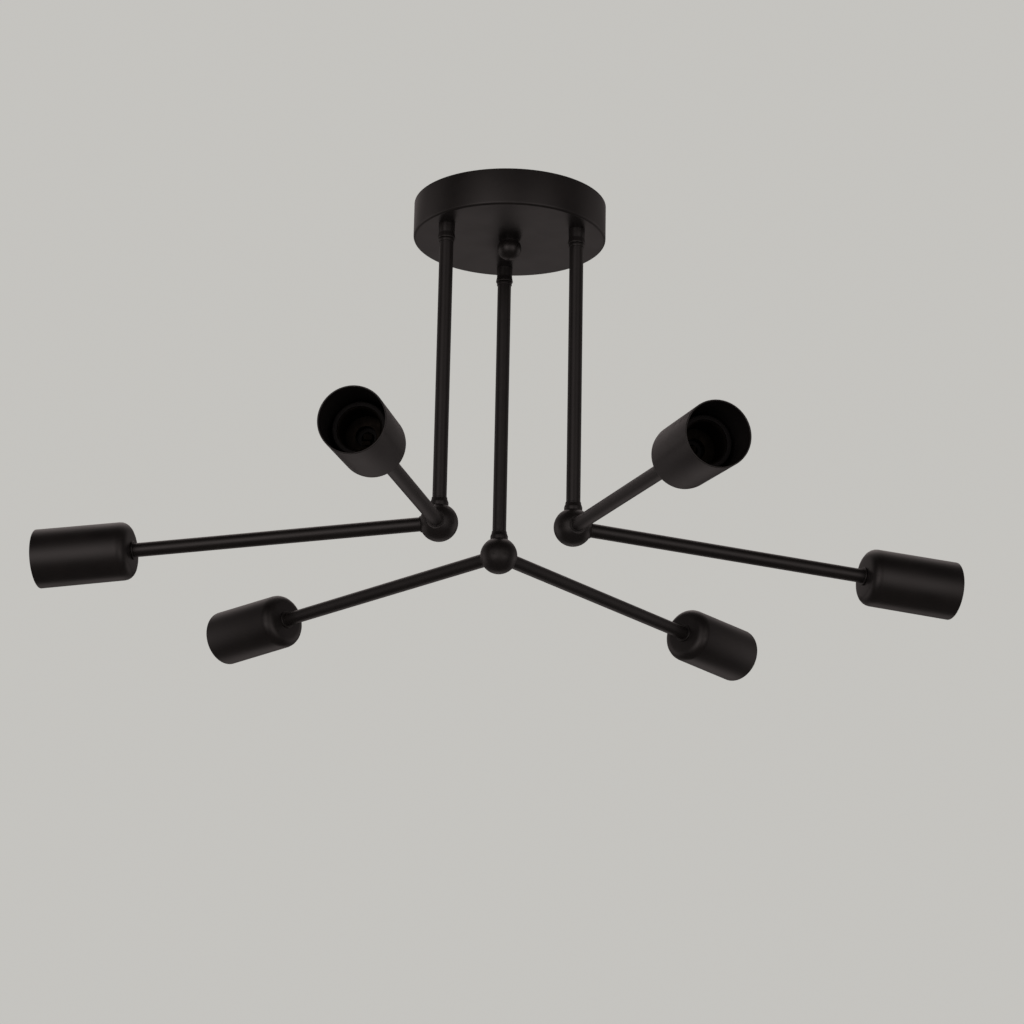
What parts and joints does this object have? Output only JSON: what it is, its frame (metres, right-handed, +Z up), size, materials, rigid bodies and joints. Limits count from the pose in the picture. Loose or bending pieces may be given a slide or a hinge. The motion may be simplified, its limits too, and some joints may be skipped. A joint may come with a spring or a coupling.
{
  "type": "chandelier",
  "caption": "Ceiling chandelier with a round canopy, stems that swivel, ball hubs, and drooping arms that end in open cylindrical cups.",
  "frame": {"origin": "centre of the canopy on the ceiling, midway between the crossbar's two slots", "axes": "+Z up into the ceiling, -Y to the front of the picture, +X to its right along the crossbar"},
  "size_m": [0.6648, 0.5849, 0.2905],
  "materials": {
    "satin_black_paint": "satin",
    "zinc_plated_steel": "satin",
    "brass_parts": "satin",
    "white_moulding": "matte",
    "black_moulding": "matte"
  },
  "bodies": {
    "canopy_body": {"canopy": "satin_black_paint", "crossbar": "zinc_plated_steel", "crossbar_stud": "zinc_plated_steel", "stud_lock_nut": "zinc_plated_steel", "ball_nut": "satin_black_paint", "earth_screw": "brass_parts", "terminal_block": "white_moulding", "terminal_screws": "zinc_plated_steel", "canopy_collars": "satin_black_paint"},
    "left_arms": {"left_stem": "satin_black_paint", "left_stem_washer": "zinc_plated_steel", "left_stem_nut": "zinc_plated_steel", "left_stem_ring": "satin_black_paint", "left_neck_collar": "satin_black_paint", "left_ball": "satin_black_paint", "left_side_arm": "satin_black_paint", "left_side_cup": "satin_black_paint", "left_side_lampholder": "black_moulding", "left_side_screw_shell": "brass_parts", "left_front_arm": "satin_black_paint", "left_front_cup": "satin_black_paint", "left_front_lampholder": "black_moulding", "left_front_screw_shell": "brass_parts", "left_arm_rings": "satin_black_paint", "left_cup_nuts": "zinc_plated_steel", "left_contacts": "brass_parts"},
    "right_arms": {"right_stem": "satin_black_paint", "right_stem_washer": "zinc_plated_steel", "right_stem_nut": "zinc_plated_steel", "right_stem_ring": "satin_black_paint", "right_neck_collar": "satin_black_paint", "right_ball": "satin_black_paint", "right_front_arm": "satin_black_paint", "right_front_cup": "satin_black_paint", "right_front_lampholder": "black_moulding", "right_front_screw_shell": "brass_parts", "right_side_arm": "satin_black_paint", "right_side_cup": "satin_black_paint", "right_side_lampholder": "black_moulding", "right_side_screw_shell": "brass_parts", "right_arm_rings": "satin_black_paint", "right_cup_nuts": "zinc_plated_steel", "right_contacts": "brass_parts"},
    "rear_arms": {"rear_stem": "satin_black_paint", "rear_stem_washer": "zinc_plated_steel", "rear_stem_nut": "zinc_plated_steel", "rear_stem_ring": "satin_black_paint", "rear_neck_collar": "satin_black_paint", "rear_ball": "satin_black_paint", "rear_right_arm": "satin_black_paint", "rear_right_cup": "satin_black_paint", "rear_right_lampholder": "black_moulding", "rear_right_screw_shell": "brass_parts", "rear_left_arm": "satin_black_paint", "rear_left_cup": "satin_black_paint", "rear_left_lampholder": "black_moulding", "rear_left_screw_shell": "brass_parts", "rear_arm_rings": "satin_black_paint", "rear_cup_nuts": "zinc_plated_steel", "rear_contacts": "brass_parts"}
  },
  "joints": [
    {"name": "left_swivel", "type": "hinge", "parent": "canopy_body", "child": "left_arms", "pos_m": [-0.04677, -0.027, -0.2], "axis": [0, 0, 1], "range_deg": [-15, 15]},
    {"name": "right_swivel", "type": "hinge", "parent": "canopy_body", "child": "right_arms", "pos_m": [0.04677, -0.027, -0.2], "axis": [0, 0, 1], "range_deg": [-15, 15]},
    {"name": "rear_swivel", "type": "hinge", "parent": "canopy_body", "child": "rear_arms", "pos_m": [0, 0.054, -0.2], "axis": [0, 0, 1], "range_deg": [-15, 15]}
  ]
}
